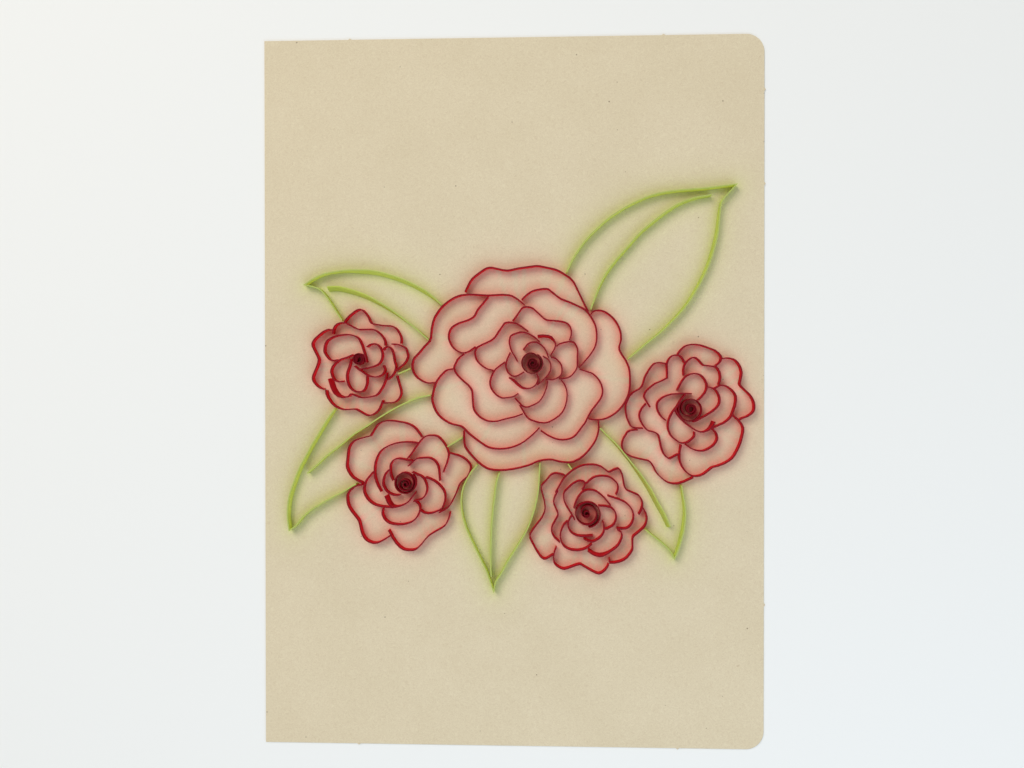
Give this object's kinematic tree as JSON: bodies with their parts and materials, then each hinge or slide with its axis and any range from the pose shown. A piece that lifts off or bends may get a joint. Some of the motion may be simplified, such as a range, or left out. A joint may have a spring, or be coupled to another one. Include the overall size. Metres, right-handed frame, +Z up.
{
  "type": "quilled paper flower",
  "caption": "Quilled paper roses with leaves: narrow rolled and bent paper strips stand on edge on a flat card sheet.",
  "frame": {"origin": "centre of the card's underside", "axes": "+Z up out of the card's face, +Y along the card's long side to its top edge, +X to its rounded corners"},
  "size_m": [0.148, 0.21, 0.0036],
  "materials": {
    "card": "matt, lightly flecked",
    "red_paper": "matt, darker cut edge",
    "green_paper": "matt, paler cut edge"
  },
  "bodies": {
    "root": {"big_rose_coil": "red_paper", "big_rose_petal_01": "red_paper", "big_rose_petal_02": "red_paper", "big_rose_petal_03": "red_paper", "big_rose_petal_04": "red_paper", "big_rose_petal_05": "red_paper", "big_rose_petal_06": "red_paper", "big_rose_petal_07": "red_paper", "big_rose_petal_08": "red_paper", "big_rose_petal_09": "red_paper", "big_rose_petal_10": "red_paper", "big_rose_petal_11": "red_paper", "big_rose_petal_12": "red_paper", "big_rose_petal_13": "red_paper", "big_rose_petal_14": "red_paper", "big_rose_petal_15": "red_paper", "big_rose_petal_16": "red_paper", "big_rose_petal_17": "red_paper", "big_rose_petal_18": "red_paper", "big_rose_petal_19": "red_paper", "big_rose_petal_20": "red_paper", "big_rose_petal_21": "red_paper", "big_rose_petal_22": "red_paper", "bottom_leaf_edge": "green_paper", "bottom_leaf_vein": "green_paper", "card": "card", "left_rose_coil": "red_paper", "left_rose_petals_1": "red_paper", "left_rose_petals_2": "red_paper", "left_rose_petals_3": "red_paper", "left_rose_petals_4": "red_paper", "left_rose_petals_5": "red_paper", "lower_left_leaf_edge": "green_paper", "lower_left_leaf_lower_tail": "green_paper", "lower_left_leaf_upper_tail": "green_paper", "lower_left_leaf_vein": "green_paper", "lower_left_rose_coil": "red_paper", "lower_left_rose_petals_1": "red_paper", "lower_left_rose_petals_2": "red_paper", "lower_left_rose_petals_3": "red_paper", "lower_left_rose_petals_4": "red_paper", "lower_left_rose_petals_5": "red_paper", "lower_right_leaf_edge": "green_paper", "lower_right_leaf_tail": "green_paper", "lower_right_leaf_vein": "green_paper", "lower_right_rose_coil": "red_paper", "lower_right_rose_petals_1": "red_paper", "lower_right_rose_petals_2": "red_paper", "lower_right_rose_petals_3": "red_paper", "lower_right_rose_petals_4": "red_paper", "lower_right_rose_petals_5": "red_paper", "right_rose_coil": "red_paper", "right_rose_petals_1": "red_paper", "right_rose_petals_2": "red_paper", "right_rose_petals_3": "red_paper", "right_rose_petals_4": "red_paper", "upper_left_leaf_edge": "green_paper", "upper_left_leaf_vein": "green_paper", "upper_right_leaf_edge": "green_paper", "upper_right_leaf_vein": "green_paper"}
  },
  "joints": []
}
